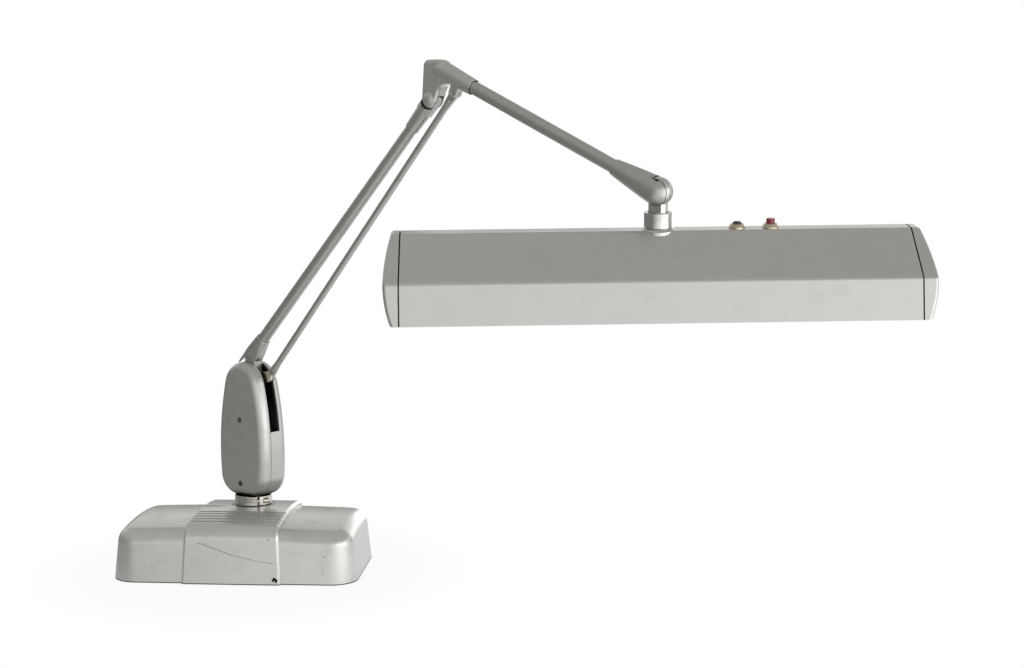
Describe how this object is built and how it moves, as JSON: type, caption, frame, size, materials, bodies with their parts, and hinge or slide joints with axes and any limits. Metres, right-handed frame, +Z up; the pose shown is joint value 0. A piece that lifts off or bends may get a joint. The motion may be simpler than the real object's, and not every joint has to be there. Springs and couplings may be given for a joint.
{
  "type": "desk lamp",
  "caption": "Balanced-arm desk lamp: weighted base, swivel pedestal, sprung parallelogram arm, jointed head with a long folded shade over fluorescent tubes, push buttons on the roof.",
  "frame": {"origin": "on the pedestal's swivel axis, on the underside of the felt pad", "axes": "+X along the base to the right, +Y away from the user, +Z up"},
  "size_m": [0.9181, 0.4612, 0.6117],
  "materials": {
    "silver_paint": "semi-gloss silver-grey metallic paint, worn at the edges",
    "nickel": "polished nickel plate",
    "steel": "plain steel",
    "brass": "aged brass",
    "felt": "dark felt",
    "iron": "rough cast iron",
    "black_fibre": "matt black moulding",
    "white_enamel": "white enamel",
    "lamp_glass": "white phosphor-coated glass",
    "lamp_metal": "bright aluminium",
    "white_moulding": "white moulded plastic",
    "black_button": "glossy black moulding",
    "red_button": "dark red moulding"
  },
  "bodies": {
    "base": {"base_shell": "silver_paint", "base_plate": "steel", "plate_screws": "steel", "felt_pad": "felt", "base_weight": "iron", "ballast_choke": "iron", "cord_bushing": "black_fibre", "swivel_washer": "black_fibre", "swivel_stem": "steel", "stem_nut": "steel", "swivel_retainer": "steel"},
    "pedestal": {"swivel_ring": "nickel", "ring_screw": "brass", "pedestal_housing": "silver_paint", "pedestal_cover": "silver_paint", "cover_screws": "steel", "arm_shaft": "steel", "shaft_spacers": "steel", "spring_anchor": "steel", "near_spring": "steel", "far_spring": "steel"},
    "lower_arm": {"lower_arm_root": "silver_paint", "spring_pin": "steel", "lower_arm_tube": "silver_paint", "lower_arm_ferrule": "silver_paint"},
    "lever": {"rod_lever": "brass", "lever_pin": "steel"},
    "rod": {"control_rod": "silver_paint"},
    "upper_arm": {"elbow_casting": "silver_paint", "elbow_pin": "steel", "rod_top_pin": "steel", "upper_arm_tube": "silver_paint"},
    "arm_end": {"arm_end_socket": "silver_paint", "knuckle_pin": "steel"},
    "knuckle": {"knuckle_post": "nickel", "post_nut": "steel"},
    "head": {"swivel_collar": "nickel", "saddle_washer": "silver_paint", "shade": "silver_paint", "end_cap_left": "silver_paint", "end_cap_right": "silver_paint", "end_plates": "steel", "reflector": "white_enamel", "reflector_brackets": "steel", "wireway_cover": "white_enamel", "lamp_tube_front": "lamp_glass", "lamp_tube_rear": "lamp_glass", "lamp_ends": "lamp_metal", "lampholders": "white_moulding", "stop_switch": "black_fibre", "start_switch": "black_fibre", "stop_bezel": "brass", "start_bezel": "brass"},
    "stop_push": {"stop_button": "black_button"},
    "start_push": {"start_button": "red_button"}
  },
  "joints": [
    {"name": "pedestal_swivel", "type": "hinge", "parent": "base", "child": "pedestal", "pos_m": [0, 0, 0], "axis": [0, 0, 1], "range_deg": [-170, 170]},
    {"name": "lower_arm_tilt", "type": "hinge", "parent": "pedestal", "child": "lower_arm", "pos_m": [0, 0, 0.2304], "axis": [-0.5446, -0.8387, 0], "range_deg": [-25, 36], "deforming": ["near_spring", "far_spring"]},
    {"name": "elbow_tilt", "type": "hinge", "parent": "lower_arm", "child": "upper_arm", "pos_m": [0.24438, -0.1587, 0.56845], "axis": [-0.5446, -0.8387, 0], "range_deg": [-40, 10]},
    {"name": "rod_lever_turn", "type": "hinge", "parent": "lower_arm", "child": "lever", "pos_m": [0, 0, 0.2304], "axis": [-0.5446, -0.8387, 0], "range_deg": [-40, 10]},
    {"name": "rod_foot_turn", "type": "hinge", "parent": "lever", "child": "rod", "pos_m": [0.02644, -0.01717, 0.23693], "axis": [-0.5446, -0.8387, 0], "range_deg": [-10, 40]},
    {"name": "arm_end_twist", "type": "hinge", "parent": "upper_arm", "child": "arm_end", "pos_m": [0.49017, -0.31832, 0.47074], "axis": [0.761, -0.4942, -0.4202], "range_deg": [-40, 40]},
    {"name": "head_tilt", "type": "hinge", "parent": "arm_end", "child": "knuckle", "pos_m": [0.49017, -0.31832, 0.47074], "axis": [-0.5846, -0.8033, -0.114], "range_deg": [-22, 50]},
    {"name": "head_swivel", "type": "hinge", "parent": "knuckle", "child": "head", "pos_m": [0.49017, -0.31832, 0.47074], "axis": [-0.0011, -0.1397, 0.9902], "range_deg": [-170, 170]},
    {"name": "stop_press", "type": "slide", "parent": "head", "child": "stop_push", "axis": [0.0011, 0.1397, -0.9902], "range_m": [0, 0.003], "stiffness_N_per_m": 400},
    {"name": "start_press", "type": "slide", "parent": "head", "child": "start_push", "axis": [0.0011, 0.1397, -0.9902], "range_m": [0, 0.003], "stiffness_N_per_m": 400}
  ],
  "couplings": [
    {"joint": "rod_lever_turn", "follows": "elbow_tilt", "ratio": 1},
    {"joint": "rod_foot_turn", "follows": "elbow_tilt", "ratio": -1}
  ]
}
